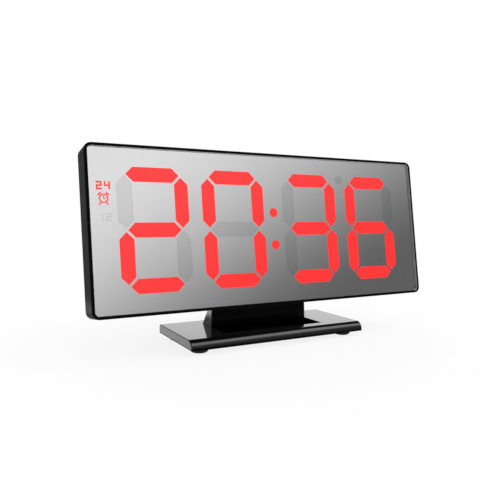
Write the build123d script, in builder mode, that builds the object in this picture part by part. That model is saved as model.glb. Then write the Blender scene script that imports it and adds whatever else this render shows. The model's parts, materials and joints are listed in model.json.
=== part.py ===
from build123d import *
import os
from math import cos, radians, sin, tan

os.makedirs("parts", exist_ok=True)

# Driving dimensions, in millimetres and degrees.
# The origin is on the table, under the middle of the base. +Y points to the back.

# Stand
base_width = 100.0
base_depth = 43.5
base_thickness = 4.75
base_nose_radius = 3.8
base_back_radius = 1.2
base_edge_radius = 0.4
foot_diameter = 9.0
foot_height = 2.75
foot_edge_radius = 1.6
foot_inlay = 0.8
foot_side_inset = 7.5
foot_end_inset = 8.2
neck_width = 58.0
neck_draft = 2.5
neck_front_y = 2.45
neck_thickness = 5.0
neck_foot_depth = 10.5
neck_gusset_height = 8.2
neck_edge_radius = 0.5
sole_toe = 15.6
sole_thickness = 2.2
sole_clearance = 0.15

# Head: the face plate leans back about its lower edge
mirror_width = 185.0
mirror_height = 73.4
mirror_corner = 2.0
head_tilt = 8.6
mirror_foot_height = 14.55
rim_width = 1.35
rim_proud = 0.4
rim_radius = 0.9
case_corner = 3.4
case_wall = 2.0
side_flat_depth = 12.2
side_taper = 8.0
bezel_depth = 13.0
ledge_width = 2.4
ledge_thickness = 1.5
post_size = 6.0

# Face stack, front to back
lens_thickness = 1.2
lens_bevel = 0.1
lens_clearance = 0.1
film_gap = 0.05
film_thickness = 0.2
tape_thickness = 0.15
plug_thickness = 1.8
plug_clearance = 0.05
reflector_depth = 7.0
well_taper = 11.0
seat_clearance = 0.2
board_thickness = 1.6

# Display: four digits that fill the mirror inside its margins
left_margin = 12.2
right_margin = 14.6
digit_margin = 8.5
digit_gap = 7.0
colon_gap = 11.4
segment_thickness = 6.6
segment_gap = 1.2
segment_mitre = 45.0
colon_spacing = 16.2
dot_diameter = 4.6
degree_rise = 1.2
indicator_inset = 6.3
indicator_width = 5.8
indicator_height = 4.6
indicator_drops = (17.1, 22.5, 30.9)
chip_length = 1.6
chip_width = 0.9
chip_height = 0.7
driver_length = 15.0
driver_width = 7.6
driver_height = 1.9
driver_drop = 6.0

# Rear cover
flange_thickness = 2.0
flange_inset = 0.9
flange_chamfer = 0.6
hump_side_inset = 8.5
hump_top_inset = 8.0
hump_bottom_inset = 5.8
hump_corner = 5.0
hump_taper = 6.0
hump_edge_radius = 2.4
clamp_post_diameter = 3.4
clamp_spacing = 30.0
tongue_width = 40.0
tongue_thickness = 3.6
tongue_height = 10.5
neck_shoulder = 1.2
neck_gap = 0.2

# Batteries and door
cell_diameter = 10.5
cell_length = 44.5
cell_nub_length = 1.0
cell_nub_diameter = 3.8
cell_count = 3
cell_pitch = 11.2
cell_clearance = 0.3
contact_thickness = 0.4
contact_size = 8.0
contact_spring = 3.4
bay_inset = 12.0
bay_wall = 1.5
bay_to_board = 4.1
door_thickness = 2.0
door_gap = 0.3
door_seat = 0.8
door_lift = 0.1
door_pin_radius = 0.6
door_pin_length = 1.3
pin_clearance = 0.06
grip_width = 12.0
grip_depth = 0.6
grip_line = 0.9
grip_count = 3
catch_width = 8.0
catch_thickness = 1.0
catch_reach = 1.6

# Control board and buttons
control_right_inset = 7.85
control_to_bay = 8.0
control_to_socket = 1.3
control_top_gap = 0.5
control_to_display = 8.0
boss_diameter = 5.0
boss_inset = 3.2
button_count = 5
button_pitch = 9.0
button_right_inset = 29.5
button_drop = 9.0
button_diameter = 6.0
button_proud = 1.0
button_flange = 1.0
button_flange_thickness = 1.2
button_travel = 0.6
button_gap = 0.2
press_gap = 0.15
button_clearance = 0.3
stem_diameter = 3.0
switch_size = 6.0
switch_height = 3.4
plunger_diameter = 3.4
plunger_height = 0.6
snooze_length = 50.0
snooze_depth = 6.0
snooze_proud = 1.0
snooze_travel = 0.8
snooze_flange = 1.2
snooze_gap = 0.2
snooze_x = 16.0
snooze_switch_depth = 4.2
snooze_switch_drop = 2.5
buzzer_diameter = 12.0
buzzer_height = 5.6
buzzer_right_inset = 17.5
buzzer_rise = 8.0
sound_hole_diameter = 1.6
sound_ring_radius = 3.6
sound_port_radius = 1.0
usb_width = 7.6
usb_height = 2.9
usb_shell = 0.35
usb_tongue = 0.7
usb_recess = 0.6
usb_share = 0.34
usb_rise = 8.0
controller_length = 12.0
controller_width = 7.6
controller_height = 1.9
crystal_length = 10.6
crystal_width = 4.6
crystal_height = 3.5
connector_length = 20.0
connector_width = 5.0
connector_inset = 6.0
chip_edge = 0.4

# Fasteners
case_screw_radius = 1.1
small_screw_radius = 0.9
neck_screw_radius = 1.4
screw_head_ratio = 2.1
screw_head_height = 1.2
screw_clearance = 0.1
screw_length = 6.0
neck_screw_x = 18.0
neck_screw_height = 4.0
head_screw_x = 12.0

# Depths behind the mirror's front surface
film_front = lens_thickness + film_gap
film_back = film_front + film_thickness
ledge_front = film_back + tape_thickness
ledge_back = ledge_front + ledge_thickness
plug_back = film_front + plug_thickness
reflector_back = film_back + reflector_depth
display_back = reflector_back + board_thickness
flange_front = bezel_depth
flange_back = flange_front + flange_thickness
bay_outside = display_back + bay_to_board
bay_floor = bay_outside + bay_wall
cell_axis_depth = bay_floor + cell_clearance + cell_diameter / 2
rear_inner = cell_axis_depth + cell_diameter / 2 + cell_clearance
rear_face = rear_inner + door_thickness
control_front = display_back + control_to_display
control_back = control_front + board_thickness

# Outlines on the face
mirror_mid = mirror_height / 2
case_width = mirror_width + 2 * rim_width
case_height = mirror_height + 2 * rim_width
cavity_width = case_width - 2 * case_wall
cavity_height = case_height - 2 * case_wall
taper_inset = (bezel_depth - side_flat_depth) * tan(radians(side_taper))
flange_width = case_width - 2 * (taper_inset + flange_inset)
flange_height = case_height - 2 * (taper_inset + flange_inset)
hump_width = case_width - 2 * hump_side_inset
hump_height = case_height - hump_top_inset - hump_bottom_inset
hump_bottom = -rim_width + hump_bottom_inset
hump_top = hump_bottom + hump_height
hump_mid = hump_bottom + hump_height / 2
hump_slope = tan(radians(hump_taper))
post_x = cavity_width / 2 - post_size / 2
post_y = cavity_height / 2 - post_size / 2
digit_width = (mirror_width - left_margin - right_margin - 2 * digit_gap - colon_gap) / 4
digit_height = mirror_height - 2 * digit_margin
digit_pitch = digit_width + digit_gap
half_digit = (digit_width - segment_thickness) / 2
half_height = (digit_height - segment_thickness) / 2
mitre = radians(segment_mitre)
tip_inset = segment_gap * cos(mitre)
first_digit_x = -mirror_width / 2 + left_margin + digit_width / 2
third_digit_x = first_digit_x + digit_pitch + digit_width + colon_gap
digit_centres = [
    first_digit_x,
    first_digit_x + digit_pitch,
    third_digit_x,
    third_digit_x + digit_pitch,
]
colon_x = third_digit_x - (digit_width + colon_gap) / 2
degree_x = third_digit_x + digit_pitch / 2
degree_y = mirror_mid + half_height + degree_rise

# Frames: the face plane looks to the front, and the section plane holds depth and height
tilt = radians(head_tilt)
base_top = foot_height + base_thickness
tongue_back = rear_inner - seat_clearance
tongue_front = tongue_back - tongue_thickness
neck_front_depth = tongue_front - neck_shoulder
neck_meets = hump_bottom + (neck_front_depth - flange_back) * hump_slope
face_y = neck_front_y - neck_front_depth * cos(tilt) - neck_meets * sin(tilt)
face_z = base_top + mirror_foot_height
face_plane = Plane(origin=(0, face_y, face_z), x_dir=(1, 0, 0), z_dir=(0, -cos(tilt), sin(tilt)))
section_plane = Plane(origin=(0, face_y, face_z), x_dir=(0, cos(tilt), -sin(tilt)), z_dir=(1, 0, 0))
face_axis = Axis((0, face_y, face_z), (0, -cos(tilt), sin(tilt)))

# Each segment letter: side of the digit, level, and whether it stands upright
segment_places = {
    "a": (0, 1, False),
    "b": (1, 0.5, True),
    "c": (1, -0.5, True),
    "d": (0, -1, False),
    "e": (-1, -0.5, True),
    "f": (-1, 0.5, True),
    "g": (0, 0, False),
}
lit_letters = ("abdeg", "abcdef", "abcdg", "acdefg")


def at_depth(depth):
    """Plane parallel to the face, this far behind the mirror's front surface."""
    return face_plane.offset(-depth)


def section_at(x):
    """Plane of depth and height, this far to the right of the middle."""
    return section_plane.offset(x)


def back_at(depth):
    """Plane at this depth that looks to the back, with +X of the part on its left."""
    return Plane(origin=at_depth(depth).origin, x_dir=(-1, 0, 0), z_dir=-face_plane.z_dir)


def seen_from_back(places):
    """The same places in the coordinates of a plane that looks to the back."""
    return [(-x, y) for x, y in places]


def floor_outside(depth):
    """Height of the hump's lower wall, outside, at this depth."""
    return hump_bottom + (depth - flange_back) * hump_slope


def roof_outside(depth):
    """Height of the hump's upper wall, outside, at this depth."""
    return hump_top - (depth - flange_back) * hump_slope


def roof_inside(depth):
    """Height of the hump's upper wall, inside, at this depth."""
    return hump_top - case_wall - (depth - flange_front) * hump_slope


def neck_top_z(y):
    """Height above the table at which the neck stops below the hump's lower wall."""
    level = floor_outside(0) - neck_gap
    depth = (y - face_y - level * sin(tilt)) / (cos(tilt) + hump_slope * sin(tilt))
    return face_z + (level + depth * hump_slope) * cos(tilt) - depth * sin(tilt)


def save(piece, name):
    """Name a finished piece and write it to a file of its own."""
    piece.part.label = name
    export_step(piece.part, f"parts/{name}.step")


def segment_centre(digit, letter):
    """Middle of one display segment on the face."""
    side, level, _ = segment_places[letter]
    return digit_centres[digit] + side * half_digit, mirror_mid + level * half_height


def segment_length(letter):
    """Length of one segment from tip to tip."""
    upright = segment_places[letter][2]
    span = half_height if upright else 2 * half_digit
    return span - 2 * tip_inset


def draw_segment(digit, letter, clearance=0.0):
    """Add one six-sided segment to the sketch that is open."""
    half = segment_thickness / 2 + clearance
    tip = segment_length(letter) / 2 + clearance / cos(mitre)
    flat = tip - half
    upright = segment_places[letter][2]
    with Locations(segment_centre(digit, letter)):
        Polygon(
            (-tip, 0),
            (-flat, -half),
            (flat, -half),
            (tip, 0),
            (flat, half),
            (-flat, half),
            rotation=90 if upright else 0,
        )


def draw_dots(places, clearance=0.0):
    """Add round light dots to the sketch that is open."""
    with Locations(*places):
        Circle(dot_diameter / 2 + clearance)


def draw_indicators(clearance=0.0):
    """Add the square indicator windows of the left column to the sketch that is open."""
    with Locations(*indicator_places):
        Rectangle(indicator_width + 2 * clearance, indicator_height + 2 * clearance)


def draw_display(clearance=0.0):
    """Add every segment and dot of the display to the sketch that is open."""
    for digit in range(len(digit_centres)):
        for letter in segment_places:
            draw_segment(digit, letter, clearance)
    draw_dots(colon_places, clearance)
    draw_dots([(degree_x, degree_y)], clearance)


def draw_board():
    """Add the display stack's outline, notched at the corners for the case posts."""
    notch = post_size + seat_clearance
    with Locations((0, mirror_mid)):
        Rectangle(cavity_width - 2 * seat_clearance, cavity_height - 2 * seat_clearance)
        with GridLocations(cavity_width - notch, cavity_height - notch, 2, 2):
            Rectangle(notch, notch, mode=Mode.SUBTRACT)


def draw_screw_holes(places, radius):
    """Add round screw holes to the sketch that is open."""
    with Locations(*places):
        Circle(radius)


def screw_group(plane, places, radius, length):
    """Pan-head screws: heads stand on the front of the plane, shanks go behind it."""
    with BuildPart() as screws:
        with BuildSketch(plane):
            draw_screw_holes(places, radius)
        extrude(amount=-length)
        with BuildSketch(plane):
            draw_screw_holes(places, radius * screw_head_ratio)
        extrude(amount=screw_head_height)
        heads = screws.edges().filter_by(GeomType.CIRCLE).group_by(Axis(plane.origin, plane.z_dir))[-1]
        fillet(heads, screw_head_height / 2)
    return screws


colon_places = [(colon_x, mirror_mid + colon_spacing / 2), (colon_x, mirror_mid - colon_spacing / 2)]
indicator_places = [
    (-mirror_width / 2 + indicator_inset, mirror_height - drop) for drop in indicator_drops
]
driver_places = [(x, mirror_mid - driver_drop) for x in digit_centres[1:3]]
display_screw_places = [
    (first_digit_x + digit_pitch / 2, mirror_mid),
    (degree_x, mirror_mid),
    (colon_x, mirror_mid + half_height),
    (colon_x, mirror_mid - half_height),
]
case_screw_places = [
    (side * post_x, mirror_mid + level * post_y) for side in (-1, 1) for level in (-1, 1)
]
tongue_top = floor_outside(tongue_front) + case_wall + tongue_height
socket_front = tongue_front - seat_clearance - case_wall
socket_top = tongue_top + seat_clearance + case_wall
head_screw_y = tongue_top - tongue_height / 2
head_screw_places = [(-head_screw_x, head_screw_y), (head_screw_x, head_screw_y)]
bay_length = cell_length + 2 * contact_thickness + contact_spring + 2 * cell_clearance
bay_height = (cell_count - 1) * cell_pitch + cell_diameter + 2 * cell_clearance
bay_end = bay_length / 2
bay_x = -hump_width / 2 + bay_inset + bay_wall + bay_end
bay_mid = hump_mid
cell_levels = [bay_mid + (index - (cell_count - 1) / 2) * cell_pitch for index in range(cell_count)]
control_left = bay_x + bay_end + bay_wall + control_to_bay
control_right = hump_width / 2 - control_right_inset
control_bottom = socket_top + control_to_socket
control_top = roof_inside(control_back) - snooze_gap - snooze_flange - snooze_travel - control_top_gap
control_width = control_right - control_left
control_height = control_top - control_bottom
control_x = (control_left + control_right) / 2
control_mid = (control_top + control_bottom) / 2
control_screw_places = [
    (
        control_x + side * (control_width / 2 - boss_inset),
        control_mid + level * (control_height / 2 - boss_inset),
    )
    for side in (-1, 1)
    for level in (-1, 1)
]
button_y = control_top - button_drop
button_x = control_right - button_right_inset
button_places = [
    (button_x + (index - (button_count - 1) / 2) * button_pitch, button_y) for index in range(button_count)
]
buzzer_place = (control_right - buzzer_right_inset, control_bottom + buzzer_rise)
usb_place = (control_left + usb_share * control_width, control_bottom + usb_rise)
usb_mouth = rear_face - usb_recess
connector_place = (control_left + connector_inset + connector_length / 2, control_mid)
clamp_places = [
    (side * (hump_width + cavity_width) / 4, mirror_mid + level * clamp_spacing / 2)
    for side in (-1, 1)
    for level in (-1, 1)
]
door_opening_width = bay_length + 2 * door_seat
door_opening_height = bay_height + 2 * door_seat
door_width = door_opening_width - 2 * door_gap
panel_front = rear_inner + door_lift
hinge_radius = (rear_face - panel_front) / 2
hinge_depth = panel_front + hinge_radius
hinge_level = bay_mid - door_opening_height / 2 + door_gap + hinge_radius
door_top = bay_mid + door_opening_height / 2 - door_gap
snooze_axis = control_back + snooze_switch_depth / 2
snooze_near = snooze_axis - snooze_depth / 2
snooze_far = snooze_axis + snooze_depth / 2
lip_near = snooze_near - snooze_flange
lip_far = snooze_far + snooze_flange
snooze_switch_top = control_top - snooze_switch_drop
snooze_stem_end = snooze_switch_top + plunger_height + snooze_travel + press_gap
flange_tip = rear_inner - button_gap - button_flange_thickness
button_stem_end = control_back + switch_height + plunger_height + button_travel + press_gap
sole_front = neck_front_y - sole_toe
neck_back_y = neck_front_y + neck_foot_depth
sole_length = neck_back_y - sole_front
sole_y = (sole_front + neck_back_y) / 2
neck_back_face = neck_front_y + neck_thickness
neck_screw_places = [(-neck_screw_x, neck_back_face), (neck_screw_x, neck_back_face)]
draft_top = base_top + mirror_foot_height
draft_half = neck_width / 2 - mirror_foot_height * tan(radians(neck_draft))
foot_spacing_x = base_width - 2 * foot_side_inset
foot_spacing_y = base_depth - 2 * foot_end_inset

# Front bezel: thin rounded rim, flat side, tapered rear edge, ledge for the lens, screw posts
with BuildPart() as bezel:
    with BuildSketch(at_depth(-rim_proud)):
        with Locations((0, mirror_mid)):
            RectangleRounded(case_width, case_height, case_corner)
    extrude(amount=-(rim_proud + side_flat_depth))
    fillet(bezel.faces().sort_by(face_axis)[-1].edges(), rim_radius)
    with BuildSketch(at_depth(side_flat_depth)):
        with Locations((0, mirror_mid)):
            RectangleRounded(case_width, case_height, case_corner)
    extrude(amount=-(bezel_depth - side_flat_depth), taper=side_taper)
    with BuildSketch(at_depth(-rim_proud)):
        with Locations((0, mirror_mid)):
            RectangleRounded(
                mirror_width + 2 * lens_clearance,
                mirror_height + 2 * lens_clearance,
                mirror_corner + lens_clearance,
            )
    extrude(amount=-(rim_proud + ledge_front), mode=Mode.SUBTRACT)
    with BuildSketch(at_depth(ledge_front)):
        with Locations((0, mirror_mid)):
            Rectangle(mirror_width - 2 * ledge_width, mirror_height - 2 * ledge_width)
    extrude(amount=-ledge_thickness, mode=Mode.SUBTRACT)
    with BuildSketch(at_depth(ledge_back)):
        with Locations((0, mirror_mid)):
            Rectangle(cavity_width, cavity_height)
            with GridLocations(2 * post_x, 2 * post_y, 2, 2):
                Rectangle(post_size, post_size, mode=Mode.SUBTRACT)
    extrude(amount=-(bezel_depth - ledge_back), mode=Mode.SUBTRACT)
    with BuildSketch(at_depth(bezel_depth)):
        draw_screw_holes(case_screw_places, case_screw_radius + screw_clearance)
    extrude(amount=screw_length, mode=Mode.SUBTRACT)
save(bezel, "front_bezel")

# Lens: clear acrylic plate with a bevelled front edge
with BuildPart() as lens:
    with BuildSketch(at_depth(0)):
        with Locations((0, mirror_mid)):
            RectangleRounded(mirror_width, mirror_height, mirror_corner)
    extrude(amount=-lens_thickness)
    chamfer(lens.faces().sort_by(face_axis)[-1].edges(), lens_bevel)
save(lens, "lens")

# Mirror film: thin half-mirror layer with a window for every segment and dot
with BuildPart() as film:
    with BuildSketch(at_depth(film_front)):
        with Locations((0, mirror_mid)):
            RectangleRounded(mirror_width, mirror_height, mirror_corner)
    extrude(amount=-film_thickness)
    with BuildSketch(at_depth(film_front)):
        draw_display(plug_clearance)
    extrude(amount=-film_thickness, mode=Mode.SUBTRACT)
save(film, "mirror_film")

# Adhesive frame between the film and the bezel's ledge
with BuildPart() as tape:
    with BuildSketch(at_depth(film_back)):
        with Locations((0, mirror_mid)):
            RectangleRounded(mirror_width, mirror_height, mirror_corner)
            Rectangle(
                mirror_width - 2 * ledge_width, mirror_height - 2 * ledge_width, mode=Mode.SUBTRACT
            )
    extrude(amount=-tape_thickness)
save(tape, "lens_tape")

# Reflector housing: white block with a straight mouth and a tapered light well per segment
with BuildPart() as reflector:
    with BuildSketch(at_depth(film_back)):
        with Locations((0, mirror_mid)):
            Rectangle(
                mirror_width - 2 * (ledge_width + seat_clearance),
                mirror_height - 2 * (ledge_width + seat_clearance),
            )
    extrude(amount=-(ledge_back - film_back))
    with BuildSketch(at_depth(ledge_back)):
        draw_board()
    extrude(amount=-(reflector_back - ledge_back))
    with BuildSketch(at_depth(film_back)):
        draw_display(plug_clearance)
        draw_indicators(plug_clearance)
    extrude(amount=-(plug_back - film_back), mode=Mode.SUBTRACT)
    with BuildSketch(at_depth(plug_back)):
        draw_display(plug_clearance)
        draw_indicators(plug_clearance)
    extrude(amount=-(reflector_back - plug_back), taper=well_taper, mode=Mode.SUBTRACT)
    with BuildSketch(at_depth(reflector_back)):
        draw_screw_holes(display_screw_places, small_screw_radius + screw_clearance)
    extrude(amount=screw_length - board_thickness, mode=Mode.SUBTRACT)
save(reflector, "reflector_housing")

# Light plugs: each digit's lit segments and its dark ones
for digit, lit in enumerate(lit_letters):
    dark = [letter for letter in segment_places if letter not in lit]
    for state, letters in (("lit", lit), ("unlit", dark)):
        with BuildPart() as plugs:
            with BuildSketch(at_depth(film_front)):
                for letter in letters:
                    draw_segment(digit, letter)
            extrude(amount=-plug_thickness)
        save(plugs, f"digit{digit + 1}_{state}_segments")

with BuildPart() as colon:
    with BuildSketch(at_depth(film_front)):
        draw_dots(colon_places)
    extrude(amount=-plug_thickness)
save(colon, "colon_dots")

with BuildPart() as degree:
    with BuildSketch(at_depth(film_front)):
        draw_dots([(degree_x, degree_y)])
    extrude(amount=-plug_thickness)
save(degree, "degree_dot")

with BuildPart() as indicators:
    with BuildSketch(at_depth(film_back)):
        draw_indicators()
    extrude(amount=-(plug_back - film_back))
save(indicators, "indicator_diffusers")

# Display board with its light sources in the wells and the drivers on its back
with BuildPart() as display_board:
    with BuildSketch(at_depth(reflector_back)):
        draw_board()
        with Locations(*display_screw_places):
            Circle(small_screw_radius + screw_clearance, mode=Mode.SUBTRACT)
    extrude(amount=-board_thickness)
save(display_board, "led_board")

with BuildPart() as chips:
    with BuildSketch(at_depth(reflector_back)):
        for digit in range(len(digit_centres)):
            for letter, (_, _, upright) in segment_places.items():
                reach = segment_length(letter) / 2
                pitch = (1, reach) if upright else (reach, 1)
                with Locations(segment_centre(digit, letter)):
                    with GridLocations(*pitch, 1 if upright else 2, 2 if upright else 1):
                        Rectangle(chip_length, chip_width)
        with Locations(*colon_places, (degree_x, degree_y)):
            Rectangle(chip_length, chip_width)
        with Locations(*indicator_places):
            Rectangle(chip_length, chip_width)
    extrude(amount=chip_height)
save(chips, "led_chips")

with BuildPart() as drivers:
    with BuildSketch(at_depth(display_back)):
        with Locations(*driver_places):
            Rectangle(driver_length, driver_width)
    extrude(amount=-driver_height)
    chamfer(drivers.faces().sort_by(face_axis)[:len(driver_places)].edges(), chip_edge)
save(drivers, "driver_chips")

# Rear cover: flange, tapered hump, battery bay, neck socket, bosses and openings
with BuildPart() as cover:
    with BuildSketch(at_depth(flange_front)):
        with Locations((0, mirror_mid)):
            RectangleRounded(flange_width, flange_height, case_corner)
    extrude(amount=-flange_thickness)
    chamfer(cover.faces().sort_by(face_axis)[0].edges(), flange_chamfer)
    with BuildSketch(at_depth(flange_back)):
        with Locations((0, hump_mid)):
            RectangleRounded(hump_width, hump_height, hump_corner)
    extrude(amount=-(rear_face - flange_back), taper=hump_taper)
    fillet(cover.faces().sort_by(face_axis)[0].edges(), hump_edge_radius)
    with BuildSketch(at_depth(flange_front)):
        with Locations((0, hump_mid)):
            RectangleRounded(
                hump_width - 2 * case_wall, hump_height - 2 * case_wall, hump_corner - case_wall
            )
    extrude(amount=-(rear_inner - flange_front), taper=hump_taper, mode=Mode.SUBTRACT)
    # Short posts that clamp the display board
    with BuildSketch(at_depth(display_back)):
        with Locations(*clamp_places):
            Circle(clamp_post_diameter / 2)
    extrude(amount=-(flange_front - display_back))
    # Battery bay
    with BuildSketch(at_depth(bay_outside)):
        with Locations((bay_x, bay_mid)):
            Rectangle(bay_length + 2 * bay_wall, bay_height + 2 * bay_wall)
    extrude(amount=-(rear_inner - bay_outside))
    with BuildSketch(at_depth(bay_floor)):
        with Locations((bay_x, bay_mid)):
            Rectangle(bay_length, bay_height)
    extrude(amount=-(rear_inner - bay_floor), mode=Mode.SUBTRACT)
    with BuildSketch(at_depth(rear_inner)):
        with Locations((bay_x, bay_mid)):
            Rectangle(door_opening_width, door_opening_height)
    extrude(amount=-door_thickness, mode=Mode.SUBTRACT)
    with BuildSketch(section_at(bay_x)):
        with Locations((hinge_depth, hinge_level)):
            Circle(door_pin_radius + pin_clearance)
    extrude(amount=door_width / 2 + door_pin_length + door_gap, both=True, mode=Mode.SUBTRACT)
    # Socket for the neck's tongue
    with BuildSketch(section_plane):
        Polygon(
            (socket_front, floor_outside(socket_front) + case_wall / 2),
            (rear_inner, floor_outside(rear_inner) + case_wall / 2),
            (rear_inner, socket_top),
            (socket_front, socket_top),
            align=None,
        )
    extrude(amount=tongue_width / 2 + seat_clearance + case_wall, both=True)
    with BuildSketch(section_plane):
        Polygon(
            (tongue_front - seat_clearance, hump_bottom - case_wall),
            (rear_inner, hump_bottom - case_wall),
            (rear_inner, tongue_top + seat_clearance),
            (tongue_front - seat_clearance, tongue_top + seat_clearance),
            align=None,
        )
    extrude(amount=tongue_width / 2 + seat_clearance, both=True, mode=Mode.SUBTRACT)
    with BuildSketch(at_depth(rear_face)):
        draw_screw_holes(head_screw_places, small_screw_radius + screw_clearance)
    extrude(amount=door_thickness, mode=Mode.SUBTRACT)
    with BuildSketch(at_depth(rear_face)):
        draw_screw_holes(head_screw_places, small_screw_radius * screw_head_ratio + screw_clearance)
    extrude(amount=screw_head_height, mode=Mode.SUBTRACT)
    # Bosses for the control board
    with BuildSketch(at_depth(control_back)):
        draw_screw_holes(control_screw_places, boss_diameter / 2)
    extrude(amount=-(rear_inner - control_back))
    with BuildSketch(at_depth(control_back)):
        draw_screw_holes(control_screw_places, small_screw_radius + screw_clearance)
    extrude(amount=-screw_length, mode=Mode.SUBTRACT)
    # Openings for buttons, sound and power
    with BuildSketch(at_depth(rear_face)):
        with Locations(*button_places):
            Circle(button_diameter / 2 + button_clearance)
        with Locations(buzzer_place):
            Circle(sound_hole_diameter / 2)
            with PolarLocations(sound_ring_radius, 6):
                Circle(sound_hole_diameter / 2)
        with Locations(usb_place):
            RectangleRounded(
                usb_width + 2 * button_clearance, usb_height + 2 * button_clearance, usb_height / 4
            )
    extrude(amount=door_thickness, mode=Mode.SUBTRACT)
    with BuildSketch(section_plane):
        Polygon(
            (snooze_near - button_clearance, roof_inside(snooze_near) - case_wall),
            (snooze_far + button_clearance, roof_inside(snooze_near) - case_wall),
            (snooze_far + button_clearance, hump_top + case_wall),
            (snooze_near - button_clearance, hump_top + case_wall),
            align=None,
        )
    extrude(amount=snooze_length / 2 + button_clearance, both=True, mode=Mode.SUBTRACT)
    # Clearance holes of the case screws in the flange
    with BuildSketch(at_depth(flange_back)):
        draw_screw_holes(case_screw_places, case_screw_radius + screw_clearance)
    extrude(amount=flange_thickness, mode=Mode.SUBTRACT)
save(cover, "rear_cover")

# Battery door: flat panel with a round lower edge, hinge pins, grip lines and a catch
with BuildPart() as door:
    with BuildSketch(section_at(bay_x)):
        Polygon(
            (panel_front, hinge_level),
            (rear_face, hinge_level),
            (rear_face, door_top),
            (panel_front, door_top),
            align=None,
        )
        with Locations((hinge_depth, hinge_level)):
            Circle(hinge_radius)
    extrude(amount=door_width / 2, both=True)
    with BuildSketch(section_at(bay_x)):
        with Locations((hinge_depth, hinge_level)):
            Circle(door_pin_radius)
    extrude(amount=door_width / 2 + door_pin_length, both=True)
    with BuildSketch(at_depth(panel_front)):
        with Locations((bay_x, bay_mid + bay_height / 2 - catch_thickness)):
            Rectangle(catch_width, catch_thickness)
    extrude(amount=catch_reach)
    with BuildSketch(at_depth(rear_face)):
        with Locations((bay_x, door_top - (grip_count + 1) * 2 * grip_line)):
            with GridLocations(grip_width, 2 * grip_line, 1, grip_count):
                SlotOverall(grip_width, grip_line)
    extrude(amount=grip_depth, mode=Mode.SUBTRACT)
save(door, "battery_door")

# Battery cells, laid in turn head to tail, and their contacts
with BuildPart() as cells:
    for index, level in enumerate(cell_levels):
        way = 1 if index % 2 == 0 else -1
        nub_end = bay_x + way * (bay_end - contact_thickness - cell_clearance)
        with BuildSketch(section_at(nub_end)):
            with Locations((cell_axis_depth, level)):
                Circle(cell_nub_diameter / 2)
        extrude(amount=-way * cell_nub_length)
        with BuildSketch(section_at(nub_end - way * cell_nub_length)):
            with Locations((cell_axis_depth, level)):
                Circle(cell_diameter / 2)
        extrude(amount=-way * (cell_length - cell_nub_length))
save(cells, "battery_cells")

with BuildPart() as contacts:
    with BuildSketch(at_depth(cell_axis_depth - contact_size / 2)):
        for index, level in enumerate(cell_levels):
            way = 1 if index % 2 == 0 else -1
            with Locations((bay_x + way * (bay_end - contact_thickness / 2), level)):
                Rectangle(contact_thickness, contact_size)
            root = bay_x - way * bay_end
            reach = contact_spring + contact_thickness
            half = contact_size / 2
            with Locations((root, level)):
                Polygon((0, -half), (way * reach, 0), (0, half), align=None)
                Polygon(
                    (0, -half + 2 * contact_thickness),
                    (way * (reach - 2 * contact_thickness), 0),
                    (0, half - 2 * contact_thickness),
                    align=None,
                    mode=Mode.SUBTRACT,
                )
    extrude(amount=-contact_size)
save(contacts, "battery_contacts")

# Control board and what it carries
with BuildPart() as control:
    with BuildSketch(at_depth(control_front)):
        with Locations((control_x, control_mid)):
            RectangleRounded(control_width, control_height, board_thickness)
        with Locations(*control_screw_places):
            Circle(small_screw_radius + screw_clearance, mode=Mode.SUBTRACT)
    extrude(amount=-board_thickness)
save(control, "control_board")

with BuildPart() as controller:
    with BuildSketch(at_depth(control_front)):
        with Locations((control_x + controller_length / 2, control_mid)):
            Rectangle(controller_length, controller_width)
    extrude(amount=controller_height)
    chamfer(controller.faces().sort_by(face_axis)[-1].edges(), chip_edge)
save(controller, "controller_chip")

with BuildPart() as crystal:
    with BuildSketch(at_depth(control_front)):
        with Locations((control_x + 2 * crystal_length, control_mid)):
            SlotOverall(crystal_length, crystal_width)
    extrude(amount=crystal_height)
    fillet(crystal.faces().sort_by(face_axis)[-1].edges(), chip_edge)
save(crystal, "quartz_crystal")

with BuildPart() as connector:
    with BuildSketch(at_depth(display_back)):
        with Locations(connector_place):
            Rectangle(connector_length, connector_width)
    extrude(amount=-(control_front - display_back))
    with BuildSketch(at_depth(display_back + control_to_display / 2)):
        with Locations(connector_place):
            Rectangle(connector_length, connector_width)
            Rectangle(
                connector_length - 2 * chip_edge, connector_width - 2 * chip_edge, mode=Mode.SUBTRACT
            )
    extrude(amount=-chip_edge, mode=Mode.SUBTRACT)
save(connector, "board_connector")

with BuildPart() as buzzer:
    with BuildSketch(at_depth(control_back)):
        with Locations(buzzer_place):
            Circle(buzzer_diameter / 2)
    extrude(amount=-buzzer_height)
    with BuildSketch(at_depth(control_back + buzzer_height)):
        with Locations(buzzer_place):
            Circle(sound_port_radius)
    extrude(amount=sound_port_radius, mode=Mode.SUBTRACT)
save(buzzer, "buzzer")

with BuildPart() as usb:
    with BuildSketch(at_depth(control_back)):
        with Locations(usb_place):
            RectangleRounded(usb_width, usb_height, usb_height / 4)
    extrude(amount=-(usb_mouth - control_back))
    with BuildSketch(at_depth(usb_mouth)):
        with Locations(usb_place):
            RectangleRounded(usb_width - 2 * usb_shell, usb_height - 2 * usb_shell, usb_height / 5)
            Rectangle(usb_width / 2, usb_tongue, mode=Mode.SUBTRACT)
    extrude(amount=(usb_mouth - control_back) / 2, mode=Mode.SUBTRACT)
save(usb, "usb_socket")

with BuildPart() as switches:
    with BuildSketch(at_depth(control_back)):
        with Locations(*button_places):
            Rectangle(switch_size, switch_size)
    extrude(amount=-switch_height)
    with BuildSketch(at_depth(control_back + switch_height)):
        with Locations(*button_places):
            Circle(plunger_diameter / 2)
    extrude(amount=-plunger_height)
save(switches, "tact_switches")

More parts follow.
